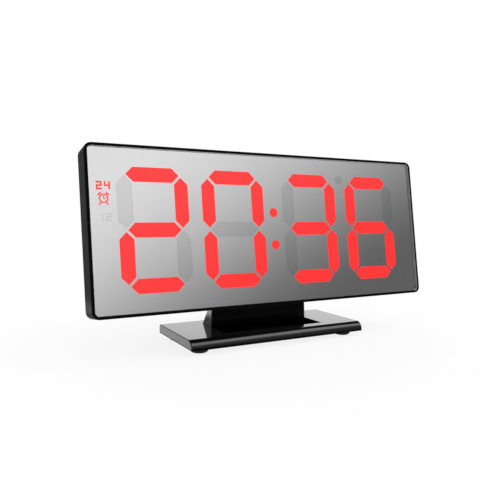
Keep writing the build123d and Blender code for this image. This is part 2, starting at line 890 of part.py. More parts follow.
with BuildPart() as snooze_switch:
    with BuildSketch(at_depth(control_back)):
        with Locations((snooze_x, snooze_switch_top - switch_height / 2)):
            Rectangle(switch_size, switch_height)
    extrude(amount=-snooze_switch_depth)
    with BuildSketch(section_at(snooze_x)):
        with Locations((snooze_axis, snooze_switch_top + plunger_height / 2)):
            Rectangle(plunger_diameter / 2, plunger_height)
    extrude(amount=plunger_diameter / 2, both=True)
save(snooze_switch, "snooze_switch")

# Rear buttons: crowned cap, retaining flange behind the wall, stem to its switch
for index, place in enumerate(button_places):
    with BuildPart() as button:
        with BuildSketch(at_depth(flange_tip)):
            with Locations(place):
                Circle(button_diameter / 2 + button_flange)
        extrude(amount=-button_flange_thickness)
        with BuildSketch(at_depth(flange_tip)):
            with Locations(place):
                Circle(button_diameter / 2)
        extrude(amount=-(rear_face + button_proud - flange_tip))
        fillet(button.faces().sort_by(face_axis)[0].edges(), button_proud / 2)
        with BuildSketch(at_depth(button_stem_end)):
            with Locations(place):
                Circle(stem_diameter / 2)
        extrude(amount=-(flange_tip - button_stem_end))
    save(button, f"button_{index + 1}")

# Snooze bar: long cap that follows the slope of the roof, with a flange and a stem
with BuildPart() as snooze:
    with BuildSketch(section_plane):
        Polygon(
            (snooze_near, roof_inside(snooze_near) - snooze_gap - snooze_flange / 2),
            (snooze_far, roof_inside(snooze_far) - snooze_gap - snooze_flange / 2),
            (snooze_far, roof_outside(snooze_far) + snooze_proud),
            (snooze_near, roof_outside(snooze_near) + snooze_proud),
            align=None,
        )
    extrude(amount=snooze_length / 2, both=True)
    fillet(snooze.faces().sort_by(Axis(face_plane.origin, face_plane.y_dir))[-1].edges(), snooze_proud / 2)
    with BuildSketch(section_plane):
        Polygon(
            (lip_near, roof_inside(lip_near) - snooze_gap - snooze_flange),
            (lip_far, roof_inside(lip_far) - snooze_gap - snooze_flange),
            (lip_far, roof_inside(lip_far) - snooze_gap),
            (lip_near, roof_inside(lip_near) - snooze_gap),
            align=None,
        )
    extrude(amount=snooze_length / 2 + snooze_flange, both=True)
    with BuildSketch(section_at(snooze_x)):
        Polygon(
            (snooze_axis - stem_diameter / 2, snooze_stem_end),
            (snooze_axis + stem_diameter / 2, snooze_stem_end),
            (snooze_axis + stem_diameter / 2, roof_inside(snooze_far) - snooze_gap - snooze_flange / 2),
            (snooze_axis - stem_diameter / 2, roof_inside(snooze_far) - snooze_gap - snooze_flange / 2),
            align=None,
        )
    extrude(amount=stem_diameter / 2, both=True)
save(snooze, "snooze_bar")

# Stand: base plate with a rounded nose, a pocket for the neck's sole, and feet
with BuildPart() as base:
    with BuildSketch(Plane.YZ) as base_profile:
        with Locations((0, foot_height + base_thickness / 2)):
            Rectangle(base_depth, base_thickness)
        top_corners = base_profile.vertices().group_by(Axis.Y)[-1].sort_by(Axis.X)
        fillet(top_corners[0], base_nose_radius)
        back_corner = base_profile.vertices().group_by(Axis.Y)[-1].sort_by(Axis.X)[-1]
        fillet(back_corner, base_back_radius)
    extrude(amount=base_width / 2, both=True)
    chamfer(base.faces().filter_by(Axis.X).edges().filter_by(Axis.Y), base_edge_radius)
    with BuildSketch(Plane.XY.offset(base_top)):
        with Locations((0, sole_y)):
            Rectangle(neck_width + 2 * sole_clearance, sole_length + 2 * sole_clearance)
    extrude(amount=-sole_thickness, mode=Mode.SUBTRACT)
    with BuildSketch(Plane.XY.offset(foot_height)):
        with GridLocations(foot_spacing_x, foot_spacing_y, 2, 2):
            Circle(foot_diameter / 2 + sole_clearance)
    extrude(amount=foot_inlay, mode=Mode.SUBTRACT)
    with BuildSketch(Plane.XY.offset(foot_height)):
        draw_screw_holes(neck_screw_places, neck_screw_radius + screw_clearance)
    extrude(amount=base_thickness, mode=Mode.SUBTRACT)
    with BuildSketch(Plane.XY.offset(foot_height)):
        draw_screw_holes(neck_screw_places, neck_screw_radius * screw_head_ratio + screw_clearance)
    extrude(amount=screw_head_height, mode=Mode.SUBTRACT)
save(base, "base_plate")

with BuildPart() as feet:
    with BuildSketch(Plane.XY):
        with GridLocations(foot_spacing_x, foot_spacing_y, 2, 2):
            Circle(foot_diameter / 2)
    extrude(amount=foot_height + foot_inlay)
    fillet(feet.edges().group_by(Axis.Z)[0], foot_edge_radius)
save(feet, "rubber_feet")

# Sole: matt plate let into the base, with a toe that runs forward from under the neck
with BuildPart() as sole:
    with BuildSketch(Plane.XY.offset(base_top)):
        with Locations((0, sole_y)):
            Rectangle(neck_width, sole_length)
        with Locations(*neck_screw_places):
            Circle(neck_screw_radius + screw_clearance, mode=Mode.SUBTRACT)
    extrude(amount=-sole_thickness)
save(sole, "neck_sole")

# Neck: drafted upright with a sloping back that stands on the sole, and a tongue into the head
with BuildPart() as neck:
    with BuildSketch(Plane.YZ):
        Polygon(
            (neck_front_y, base_top),
            (neck_back_y, base_top),
            (neck_back_face, base_top + neck_gusset_height),
            (neck_back_face, neck_top_z(neck_back_face)),
            (neck_front_y, neck_top_z(neck_front_y)),
            align=None,
        )
    extrude(amount=neck_width / 2, both=True)
    with BuildSketch(Plane.XZ):
        Polygon(
            (-neck_width / 2, base_top),
            (neck_width / 2, base_top),
            (draft_half, draft_top),
            (-draft_half, draft_top),
            align=None,
        )
    extrude(amount=base_depth, both=True, mode=Mode.INTERSECT)
    front_sides = neck.faces().sort_by(Axis.Y)[0].edges().sort_by(Axis.X)
    fillet([front_sides[0], front_sides[-1]], neck_edge_radius)
    with BuildSketch(section_plane):
        Polygon(
            (tongue_front, floor_outside(tongue_front) - neck_thickness / 2),
            (tongue_back, floor_outside(tongue_back) - neck_thickness / 2),
            (tongue_back, tongue_top),
            (tongue_front, tongue_top),
            align=None,
        )
    extrude(amount=tongue_width / 2, both=True)
    with BuildSketch(at_depth(tongue_back)):
        draw_screw_holes(head_screw_places, small_screw_radius + screw_clearance)
    extrude(amount=tongue_thickness, mode=Mode.SUBTRACT)
    with BuildSketch(Plane.XY.offset(base_top)):
        draw_screw_holes(neck_screw_places, neck_screw_radius + screw_clearance)
    extrude(amount=neck_screw_height, mode=Mode.SUBTRACT)
save(neck, "neck")

# Screws
case_screws = screw_group(
    back_at(flange_back),
    seen_from_back(case_screw_places),
    case_screw_radius,
    flange_thickness + screw_length - screw_clearance,
)
save(case_screws, "case_screws")
display_screws = screw_group(
    back_at(display_back),
    seen_from_back(display_screw_places),
    small_screw_radius,
    screw_length - screw_clearance,
)
save(display_screws, "display_screws")
control_screws = screw_group(
    at_depth(control_front), control_screw_places, small_screw_radius, screw_length - screw_clearance
)
save(control_screws, "control_screws")
head_screws = screw_group(
    back_at(rear_face - screw_head_height),
    seen_from_back(head_screw_places),
    small_screw_radius,
    rear_face - screw_head_height - tongue_front - screw_clearance,
)
save(head_screws, "head_screws")
under_base = Plane(origin=(0, 0, foot_height + screw_head_height), x_dir=(-1, 0, 0), z_dir=(0, 0, -1))
neck_screws = screw_group(
    under_base,
    seen_from_back(neck_screw_places),
    neck_screw_radius,
    base_thickness - screw_head_height + neck_screw_height - screw_clearance,
)
save(neck_screws, "neck_screws")
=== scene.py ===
import json
import math

import bmesh
import bpy
from mathutils import Matrix, Vector


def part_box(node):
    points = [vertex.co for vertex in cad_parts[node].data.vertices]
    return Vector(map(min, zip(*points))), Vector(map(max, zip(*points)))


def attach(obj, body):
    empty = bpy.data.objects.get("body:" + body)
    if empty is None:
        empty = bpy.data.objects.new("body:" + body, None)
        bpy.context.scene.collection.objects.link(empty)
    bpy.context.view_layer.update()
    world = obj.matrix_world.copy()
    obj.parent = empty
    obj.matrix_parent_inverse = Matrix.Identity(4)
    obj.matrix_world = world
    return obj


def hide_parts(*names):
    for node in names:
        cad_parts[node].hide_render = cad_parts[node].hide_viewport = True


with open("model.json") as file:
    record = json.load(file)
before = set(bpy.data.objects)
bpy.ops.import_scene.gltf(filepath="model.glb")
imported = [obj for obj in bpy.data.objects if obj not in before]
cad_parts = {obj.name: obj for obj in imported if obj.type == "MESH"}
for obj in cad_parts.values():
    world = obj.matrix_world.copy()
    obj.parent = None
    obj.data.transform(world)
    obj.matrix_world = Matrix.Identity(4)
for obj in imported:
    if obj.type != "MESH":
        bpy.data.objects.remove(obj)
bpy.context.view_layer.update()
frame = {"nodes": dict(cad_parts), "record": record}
nodes = frame["nodes"]
scene = bpy.context.scene

MM = 0.001
UPRIGHT = Vector((0, 0, 1))

# The face of the clock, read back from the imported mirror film: it leans back about its lower edge
FACE_TILT = math.radians(8.6)
FILM_THICKNESS = 0.2 * MM
film_low, film_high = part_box("mirror_film")
FACE_RIGHT = Vector((1, 0, 0))
FACE_UP = Vector((0, math.sin(FACE_TILT), math.cos(FACE_TILT)))
FACE_FRONT = Vector((0, -math.cos(FACE_TILT), math.sin(FACE_TILT)))
FILM_FOOT = Vector((0, film_low.y, film_low.z + FILM_THICKNESS * math.sin(FACE_TILT)))


def on_film(x, y, proud):
    """Point x to the right, y up the film and proud of its front, all in metres."""
    return FILM_FOOT + FACE_RIGHT * x + FACE_UP * y + FACE_FRONT * proud


# Camera, fitted to the photograph

CAMERA_PLACE = Vector((-143.5, -246.0, 66.5)) * MM
CAMERA_YAW = math.radians(-28.34)
CAMERA_PITCH = math.radians(4.877)
CAMERA_ROLL = math.radians(0.364)
CAMERA_LENS = 39.71
CAMERA_SENSOR = 36.0
CAMERA_SHIFT_Y = 0.0265
CAMERA_CLIP = 5 * MM


def make_camera():
    """Camera at the photograph's place, turned by yaw, pitch and a little roll."""
    data = bpy.data.cameras.new("camera")
    data.sensor_width = CAMERA_SENSOR
    data.lens = CAMERA_LENS
    data.shift_y = CAMERA_SHIFT_Y
    data.clip_start = CAMERA_CLIP
    level = math.cos(CAMERA_PITCH)
    back = Vector((
        math.sin(CAMERA_YAW) * level,
        -math.cos(CAMERA_YAW) * level,
        math.sin(CAMERA_PITCH),
    ))
    right = UPRIGHT.cross(back).normalized()
    up = back.cross(right)
    turn = Matrix((right, up, back)).transposed() @ Matrix.Rotation(CAMERA_ROLL, 3, "Z")
    camera = bpy.data.objects.new("camera", data)
    camera.matrix_world = Matrix.Translation(CAMERA_PLACE) @ turn.to_4x4()
    scene.collection.objects.link(camera)
    scene.camera = camera


# Node materials

NOISE_SPAN = (0.3, 0.7)
GRAIN_DEPTH = 0.02 * MM


class Shader:
    """A node material with one principled shader and short ways to add nodes."""

    def __init__(self, name):
        self.material = bpy.data.materials.new(name)
        self.material.use_nodes = True
        self.tree = self.material.node_tree
        self.principled = self.tree.nodes["Principled BSDF"]
        self.output = self.tree.nodes["Material Output"]

    def node(self, kind, **values):
        """New node with some of its values set."""
        made = self.tree.nodes.new(kind)
        for key, value in values.items():
            setattr(made, key, value)
        return made

    def link(self, source, target):
        """Join an output of one node to an input of another."""
        self.tree.links.new(source, target)

    def set(self, **values):
        """Values of the principled shader that are the same all over."""
        for key, value in values.items():
            self.principled.inputs[key.replace("_", " ")].default_value = value

    def feed(self, source, name):
        """Value of the principled shader that changes over the surface."""
        self.link(source, self.principled.inputs[name])

    def compute(self, operation, *numbers):
        """Result of one operation on outputs of other nodes."""
        made = self.node("ShaderNodeMath", operation=operation)
        for number, socket in zip(numbers, made.inputs):
            self.link(number, socket)
        return made.outputs["Value"]

    def parts(self, vector):
        """The X, Y and Z of a vector."""
        split = self.node("ShaderNodeSeparateXYZ")
        self.link(vector, split.inputs["Vector"])
        return split.outputs

    def coords(self):
        """Place on the object, in metres."""
        return self.node("ShaderNodeTexCoord").outputs["Object"]

    def normal(self):
        """Direction in which the surface faces."""
        return self.node("ShaderNodeNewGeometry").outputs["Normal"]

    def facing(self):
        """One on surfaces that lie parallel to the face, and none on those at right angles to it."""
        across = self.node("ShaderNodeVectorMath", operation="DOT_PRODUCT")
        across.inputs[1].default_value = FACE_FRONT
        self.link(self.normal(), across.inputs[0])
        return self.compute("ABSOLUTE", across.outputs["Value"])

    def noise(self, scale, detail):
        """Soft uneven pattern, mostly within the noise span."""
        made = self.node("ShaderNodeTexNoise")
        made.inputs["Scale"].default_value = scale
        made.inputs["Detail"].default_value = detail
        self.link(self.coords(), made.inputs["Vector"])
        return made.outputs["Fac"]

    def ramp(self, factor, low, high, span=NOISE_SPAN, course="LINEAR"):
        """Number that goes from low to high as the factor crosses its span."""
        made = self.node("ShaderNodeMapRange", interpolation_type=course)
        made.inputs["From Min"].default_value = span[0]
        made.inputs["From Max"].default_value = span[1]
        made.inputs["To Min"].default_value = low
        made.inputs["To Max"].default_value = high
        self.link(factor, made.inputs["Value"])
        return made.outputs["Result"]

    def tint(self, factor, low, high, span=NOISE_SPAN):
        """Base colour that goes from low to high as the factor crosses its span."""
        made = self.node("ShaderNodeMix", data_type="RGBA")
        made.inputs["A"].default_value = (*low, 1)
        made.inputs["B"].default_value = (*high, 1)
        self.link(self.ramp(factor, 0, 1, span), made.inputs["Factor"])
        self.feed(made.outputs["Result"], "Base Color")

    def rough(self, factor, low, high):
        """Roughness that goes from low to high with a noise."""
        self.feed(self.ramp(factor, low, high), "Roughness")

    def bump(self, height, strength):
        """Shallow relief of the surface."""
        made = self.node("ShaderNodeBump")
        made.inputs["Strength"].default_value = strength
        made.inputs["Distance"].default_value = GRAIN_DEPTH
        self.link(height, made.inputs["Height"])
        self.feed(made.outputs["Normal"], "Normal")

    def show(self, surface):
        """Make a shader the surface of the material."""
        self.link(surface, self.output.inputs["Surface"])

    def blend(self, share, first, second):
        """Show two shaders mixed, the second one by its share."""
        mix = self.node("ShaderNodeMixShader")
        self.link(share, mix.inputs["Fac"])
        self.link(first, mix.inputs[1])
        self.link(second, mix.inputs[2])
        self.show(mix.outputs["Shader"])


# Finishes of the clock

TONE_DRIFT = {"scale": 35, "detail": 3}
GLOSS_DRIFT = {"scale": 60, "detail": 5}
GRAIN_DETAIL = 2
LENS_EDGE_FACING = (0.8, 0.9)
# Facing span over which the bezel's painted sheen runs from the lighter sides to the darker front rim
SIDE_SHEEN_FACING = (0.3, 0.7)
CELL_END_FACING = (0.6, 0.8)
TRACK_SCALE = 160
TRACK_GAP = 0.03
BASE_SPECULAR = 0.5
BASE_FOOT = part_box("base_plate")[0].z
# Height span of the painted shade: below it the base loses its shine and shows as a dark line
BASE_SHADE_LINE = (BASE_FOOT + 0.65 * MM, BASE_FOOT + 0.75 * MM)

MOULDED_FINISHES = {
    "satin_black": {
        "dark": (0.012, 0.012, 0.013), "light": (0.015, 0.015, 0.016),
        "rough": (0.42, 0.48), "specular": 0.4, "grain": 1400, "strength": 0.5,
    },
    "neck_black": {
        "dark": (0.0012, 0.0012, 0.0012), "light": (0.0025, 0.0025, 0.0025),
        "rough": (0.15, 0.22), "specular": 0.32, "grain": 1400, "strength": 0.2,
    },
    "sole_black": {
        "dark": (0.0012, 0.0012, 0.0012), "light": (0.003, 0.003, 0.003),
        "rough": (0.9, 1.0), "specular": 0.0, "grain": 700, "strength": 0.6,
    },
    "button_black": {
        "dark": (0.018, 0.018, 0.019), "light": (0.03, 0.03, 0.032),
        "rough": (0.3, 0.42), "specular": 0.5, "grain": 1100, "strength": 0.3,
    },
    "tape_black": {
        "dark": (0.01, 0.01, 0.01), "light": (0.02, 0.02, 0.02),
        "rough": (0.7, 0.9), "specular": 0.3, "grain": 900, "strength": 0.6,
    },
    "reflector_white": {
        "dark": (0.76, 0.76, 0.74), "light": (0.84, 0.84, 0.82),
        "rough": (0.4, 0.55), "specular": 0.5, "grain": 900, "strength": 0.2,
    },
    "led_package": {
        "dark": (0.75, 0.7, 0.5), "light": (0.88, 0.84, 0.68),
        "rough": (0.2, 0.3), "specular": 0.5, "grain": 900, "strength": 0.1,
    },
    "chip_black": {
        "dark": (0.015, 0.015, 0.017), "light": (0.03, 0.03, 0.034),
        "rough": (0.45, 0.6), "specular": 0.4, "grain": 1500, "strength": 0.4,
    },
    "connector_black": {
        "dark": (0.02, 0.02, 0.022), "light": (0.04, 0.04, 0.043),
        "rough": (0.4, 0.5), "specular": 0.4, "grain": 900, "strength": 0.3,
    },
    "rubber_black": {
        "dark": (0.004, 0.004, 0.004), "light": (0.009, 0.009, 0.009),
        "rough": (0.6, 0.75), "specular": 0.25, "grain": 1600, "strength": 0.5,
    },
}
METAL_FINISHES = {
    "crystal_can": {"dark": (0.55, 0.55, 0.55), "light": (0.7, 0.7, 0.7), "rough": (0.2, 0.3)},
    "socket_steel": {"dark": (0.42, 0.42, 0.44), "light": (0.58, 0.58, 0.6), "rough": (0.22, 0.34)},
    "contact_steel": {"dark": (0.6, 0.59, 0.55), "light": (0.75, 0.74, 0.7), "rough": (0.2, 0.3)},
    "screw_steel": {"dark": (0.10, 0.10, 0.105), "light": (0.2, 0.2, 0.21), "rough": (0.28, 0.4)},
}
MIRROR_FINISHES = {
    "half_mirror": {"dark": (0.775, 0.775, 0.775), "light": (0.795, 0.795, 0.795)},
    "unlit_segment": {"dark": (0.67, 0.67, 0.68), "light": (0.69, 0.69, 0.70)},
}


def moulded(name, dark, light, rough, specular, grain, strength):
    """Moulded plastic: slow drift in tone and gloss, fine grain in the bump."""
    shader = Shader(name)
    shader.set(Specular_IOR_Level=specular)
    shader.tint(shader.noise(**TONE_DRIFT), dark, light)
    shader.rough(shader.noise(**GLOSS_DRIFT), *rough)
    shader.bump(shader.noise(grain, GRAIN_DETAIL), strength)
    return shader


def metal(name, dark, light, rough):
    """Plated steel with fine uneven polish."""
    shader = Shader(name)
    shader.set(Metallic=1.0)
    shader.tint(shader.noise(scale=180, detail=4), dark, light)
    shader.rough(shader.noise(scale=400, detail=4), *rough)
    shader.bump(shader.noise(scale=900, detail=GRAIN_DETAIL), strength=0.05)
    return shader


def mirror(name, dark, light):
    """Vacuum coated mirror, with a trace of unevenness in the coating."""
    shader = Shader(name)
    shader.set(Metallic=1.0)
    shader.tint(shader.noise(scale=14, detail=3), dark, light)
    shader.rough(shader.noise(scale=40, detail=3), low=0.05, high=0.08)
    return shader


def gloss_black():
    """Glossy moulded base, with painted shade along its lower edge: its lowest strip has no shine and
    shows as a dark line.
    """
    shader = moulded(
        "gloss_black", dark=(0.003, 0.003, 0.0035), light=(0.006, 0.006, 0.007),
        rough=(0.05, 0.10), specular=BASE_SPECULAR, grain=500, strength=0.02,
    )
    # Painted shade: the shine fades out towards the lowest strip of the base, which then reads as a dark
    # line
    height = shader.parts(shader.coords())["Z"]
    shader.feed(shader.ramp(height, 0, BASE_SPECULAR, BASE_SHADE_LINE), "Specular IOR Level")
    return shader


def bezel_black():
    """Dull moulded frame, with painted sheen: its sides are painted lighter than its front rim."""
    shader = Shader("bezel_black")
    shader.set(Specular_IOR_Level=0.0016)
    # Painted sheen: surfaces at right angles to the face get a lighter colour than the front rim
    shader.tint(shader.facing(), (0.012, 0.012, 0.012), (0.004, 0.004, 0.004), SIDE_SHEEN_FACING)
    shader.rough(shader.noise(**GLOSS_DRIFT), low=0.2, high=0.3)
    shader.bump(shader.noise(scale=500, detail=GRAIN_DETAIL), strength=0.02)
    return shader


def red_light():
    """Lit diffuser: even red glow, a little deeper in places."""
    shader = Shader("red_light")
    shader.set(Roughness=0.6, Specular_IOR_Level=0.1, Emission_Color=(1.0, 0.03, 0.03, 1))
    glow = shader.noise(scale=90, detail=2)
    shader.tint(glow, (0.25, 0.005, 0.005), (0.3, 0.008, 0.008))
    shader.feed(shader.ramp(glow, low=0.98, high=1.06), "Emission Strength")
    return shader


def clear_acrylic():
    """Clear acrylic plate with faint polish marks and a dull sawn edge."""
    shader = Shader("clear_acrylic")
    shader.set(IOR=1.3)
    facing = shader.facing()
    shader.tint(facing, (0.5, 0.5, 0.5), (1, 1, 1), LENS_EDGE_FACING)
    shader.feed(shader.ramp(facing, 0, 1, LENS_EDGE_FACING), "Transmission Weight")
    shader.rough(shader.noise(scale=30, detail=2), low=0.0, high=0.012)
    return shader


def cell_wrap():
    """Plain shrink wrap round the cells, with bare steel on their flat ends."""
    shader = Shader("cell_wrap")
    end = shader.compute("ABSOLUTE", shader.parts(shader.normal())["X"])
    shader.tint(end, (0.03, 0.04, 0.06), (0.62, 0.61, 0.58), CELL_END_FACING)
    shader.feed(shader.ramp(end, 0, 1, CELL_END_FACING), "Metallic")
    shader.rough(shader.noise(scale=160, detail=3), low=0.2, high=0.32)
    shader.bump(shader.noise(scale=300, detail=GRAIN_DETAIL), strength=0.1)
    return shader


def board_green():
    """Green solder mask with copper tracks showing through as paler lines."""
    shader = Shader("board_green")
    bricks = shader.node("ShaderNodeTexBrick")
    bricks.inputs["Scale"].default_value = TRACK_SCALE
    bricks.inputs["Mortar Size"].default_value = TRACK_GAP
    shader.link(shader.coords(), bricks.inputs["Vector"])
    tracks = bricks.outputs["Fac"]
    shader.tint(tracks, (0.015, 0.11, 0.045), (0.04, 0.22, 0.09))
    shader.rough(shader.noise(scale=200, detail=4), low=0.25, high=0.4)
    shader.bump(tracks, strength=0.2)
    return shader


finishes = {
    "gloss_black": gloss_black(),
    "red_light": red_light(),
    "clear_acrylic": clear_acrylic(),
    "cell_wrap": cell_wrap(),
    "board_green": board_green(),
}
for make, table in ((moulded, MOULDED_FINISHES), (metal, METAL_FINISHES), (mirror, MIRROR_FINISHES)):
    for slot, values in table.items():
        finishes[slot] = make(slot, **values)

# The bezel is of the base's plastic, with a duller polish and a painted sheen on its sides
own_finishes = {"front_bezel": bezel_black()}

for subpart in frame["record"]["subparts"]:
    node = subpart["node"]
    finish = own_finishes.get(node, finishes[subpart["material_slot"]])
    for holder in nodes[node].material_slots:
        holder.material = finish.material


def add_piece(name, sketch, slot):
    """Make a sketched mesh a piece of the clock, in the finish of a slot."""
    bmesh.ops.recalc_face_normals(sketch, faces=sketch.faces)
    mesh = bpy.data.meshes.new(name)
    sketch.to_mesh(mesh)
    sketch.free()
    mesh.materials.append(finishes[slot].material)
    piece = bpy.data.objects.new(name, mesh)
    scene.collection.objects.link(piece)
    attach(piece, "clock")
    return piece


# Screws that show: pan heads with a cross recess, in the places of the plain ones

WELD_DISTANCE = 0.001 * MM
SORT_DIGITS = 4
SCREW_HEAD_RATIO = 2.1
SCREW_TIP_RATIO = 3
SCREW_HEAD_HEIGHT = 1.2 * MM
SCREW_SIDES = 32
SCREW_EDGE_STEPS = 4
SHARP_ANGLE = math.radians(35)
# Sizes of the recess, as shares of the head's radius
RECESS_REACH = 0.56
RECESS_HALF_WIDTH = 0.13
RECESS_FLOOR_REACH = 0.3
RECESS_FLOOR_HALF_WIDTH = 0.1
RECESS_DEPTH = 0.4


def screw_groups(node):
    """Points of each screw in a node, one list per screw, from left to right and from the front."""
    sketch = bmesh.new()
    sketch.from_mesh(nodes[node].data)
    bmesh.ops.remove_doubles(sketch, verts=sketch.verts, dist=WELD_DISTANCE)
    waiting = set(sketch.verts)
    groups = []
    while waiting:
        reached = [waiting.pop()]
        group = []
        while reached:
            vertex = reached.pop()
            group.append(vertex.co.copy())
            for edge in vertex.link_edges:
                other = edge.other_vert(vertex)
                if other in waiting:
                    waiting.remove(other)
                    reached.append(other)
        groups.append(group)
    sketch.free()

    def place(group):
        """Lowest point of a group, rounded, to sort by."""
        return tuple(round(value, SORT_DIGITS) for value in min(group, key=tuple))

    return sorted(groups, key=place)


def add_screw(sketch, points, axis):
    """One screw with the head, shank and place of these points, its head towards the axis."""
    across = axis.orthogonal().normalized()
    upward = axis.cross(across)

    def span(direction):
        """Lowest and highest reach of the points along a direction."""
        reaches = [point.dot(direction) for point in points]
        return min(reaches), max(reaches)

    left, right = span(across)
    low, high = span(upward)
    tip, top = span(axis)
    centre = across * (left + right) / 2 + upward * (low + high) / 2 + axis * top
    head = (right - left) / 2
    shank = head / SCREW_HEAD_RATIO
    length = top - tip

    def corner(x, y, depth):
        """Corner beside the axis, at a depth below the head's top."""
        return sketch.verts.new(centre + across * x + upward * y - axis * depth)

    def ring(radius, depth):
        """Corners of a circle round the axis."""
        turns = [math.tau * index / SCREW_SIDES for index in range(SCREW_SIDES)]
        return [corner(radius * math.cos(turn), radius * math.sin(turn), depth) for turn in turns]

    def cross(reach, half_width, depth):
        """Twelve corners of a cross, three for each quarter turn."""
        arm, side, depth = reach * head, half_width * head, depth * head
        corners = []
        for quarter in range(4):
            turn = Matrix.Rotation(quarter * math.pi / 2, 2)
            for place in ((arm, -side), (arm, side), (side, side)):
                corners.append(corner(*(turn @ Vector(place)), depth))
        return corners

    def pairs(loop):
        """Each corner of a loop with the one after it."""
        return zip(loop, loop[1:] + loop[:1])

    def band(upper, lower):
        """Four-cornered faces between two loops of as many corners."""
        for (above, above_next), (below, below_next) in zip(pairs(upper), pairs(lower)):
            sketch.faces.new((above, above_next, below_next, below))

    edge = SCREW_HEAD_HEIGHT / 2
    bends = [math.pi / 2 * step / SCREW_EDGE_STEPS for step in range(SCREW_EDGE_STEPS + 1)]
    rings = [ring(head - edge + edge * math.sin(bend), edge - edge * math.cos(bend)) for bend in bends]
    rings.append(ring(head, SCREW_HEAD_HEIGHT))
    rings.append(ring(shank, SCREW_HEAD_HEIGHT))
    rings.append(ring(shank, length - shank))
    rings.append(ring(shank / SCREW_TIP_RATIO, length))
    for upper, lower in zip(rings, rings[1:]):
        band(upper, lower)
    sketch.faces.new(rings[-1])
    mouth = cross(RECESS_REACH, RECESS_HALF_WIDTH, 0)
    floor = cross(RECESS_FLOOR_REACH, RECESS_FLOOR_HALF_WIDTH, RECESS_DEPTH)
    band(mouth, floor)
    sketch.faces.new(floor)
    rim = [sketch.edges.get(pair) for loop in (rings[0], mouth) for pair in pairs(loop)]
    bmesh.ops.triangle_fill(sketch, edges=rim, use_beauty=True)


def cross_head_screws(node, axis):
    """Detailed screws in place of a node's plain ones."""
    sketch = bmesh.new()
    for points in screw_groups(node):
        add_screw(sketch, points, axis)
    piece = add_piece(f"{node}_cross_head", sketch, "screw_steel")
    piece.data.shade_smooth()
    piece.data.set_sharp_from_angle(angle=SHARP_ANGLE)
    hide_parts(node)


cross_head_screws("case_screws", -FACE_FRONT)
cross_head_screws("head_screws", -FACE_FRONT)
cross_head_screws("neck_screws", -UPRIGHT)


# Small signs of the display: printed on the front of the mirror film, under the lens

SIGN_FRONT = 0.03 * MM
SIGN_BACK = 0.01 * MM
SIGN_X = -86.2 * MM
SIGN_SIZE = 3.6 * MM
HOURS_SIGN_Y = 56.3 * MM
ALARM_SIGN_Y = 50.6 * MM
HALF_DAY_SIGN_Y = 42.5 * MM
ALARM_SIGN_SIZE = 1.6 * SIGN_SIZE
# Numerals, as shares of their height, and the strokes that each one has
NUMERAL_WIDTH = 0.72
NUMERAL_PITCH = 0.98
NUMERAL_STROKE = 0.2
NUMERAL_STROKES = {
    "1": ("right",),
    "2": ("top", "upper_right", "middle", "lower_left", "foot"),
    "4": ("upper_left", "crossbar", "right"),
}
# The alarm clock's ring and stroke are shares of its size, and its hands and legs are shares of the ring
ALARM_RING = 0.36
ALARM_RING_STEPS = 28
ALARM_STROKE = 0.1
ALARM_HANDS = ((0, 0.6), (0.5, 0))
ALARM_HAND_STROKES = 0.8
ALARM_LEG = ((0.6, -0.85), (0.95, -1.35))
# Its bells lie so many strokes outside the ring, at so many degrees from the top
ALARM_BELL_STROKES = (0.5, 1.7)
ALARM_BELL_TURN = 42
ALARM_BELL_HALF_ARC = 20
ALARM_BELL_STEPS = 6


def flat_sign(name, outlines, x, y, slot):
    """Thin printed sign from flat outlines in metres, placed on the film about a point of the face."""
    sketch = bmesh.new()
    for outline in outlines:
        corners = [sketch.verts.new(on_film(x + u, y + v, SIGN_BACK)) for u, v in outline]
        sketch.faces.new(corners)
    bmesh.ops.recalc_face_normals(sketch, faces=sketch.faces)
    raised = bmesh.ops.extrude_face_region(sketch, geom=sketch.faces[:])
    lifted = [item for item in raised["geom"] if isinstance(item, bmesh.types.BMVert)]
    bmesh.ops.translate(sketch, verts=lifted, vec=FACE_FRONT * (SIGN_FRONT - SIGN_BACK))
    add_piece(name, sketch, slot)


def bar(start, end, width):
    """Four corners of a straight stroke."""
    a, b = Vector(start), Vector(end)
    along = (b - a).normalized()
    side = Vector((-along.y, along.x)) * width / 2
    return [tuple(a + side), tuple(b + side), tuple(b - side), tuple(a - side)]


def arc_strip(inner, outer, start, end, steps):
    """Outlines of a curved stroke, as one four-cornered piece per step. Angles in degrees."""
    pieces = []
    angles = [math.radians(start + (end - start) * index / steps) for index in range(steps + 1)]
    for low, high in zip(angles, angles[1:]):
        pieces.append([
            (radius * math.cos(angle), radius * math.sin(angle))
            for radius, angle in ((inner, low), (outer, low), (outer, high), (inner, high))
        ])
    return pieces


def alarm_sign(size):
    """Alarm clock seen from the front: ring, two hands, two bells and two legs."""
    ring = ALARM_RING * size
    stroke = ALARM_STROKE * size
    outlines = arc_strip(ring - stroke, ring, 0, 360, ALARM_RING_STEPS)
    for x, y in ALARM_HANDS:
        outlines.append(bar((0, 0), (x * ring, y * ring), ALARM_HAND_STROKES * stroke))
    inner, outer = (ring + strokes * stroke for strokes in ALARM_BELL_STROKES)
    for side in (-1, 1):
        middle = 90 - side * ALARM_BELL_TURN
        start, end = middle - ALARM_BELL_HALF_ARC, middle + ALARM_BELL_HALF_ARC
        outlines += arc_strip(inner, outer, start, end, ALARM_BELL_STEPS)
        hip, foot = ((side * x * ring, y * ring) for x, y in ALARM_LEG)
        outlines.append(bar(hip, foot, stroke))
    return outlines


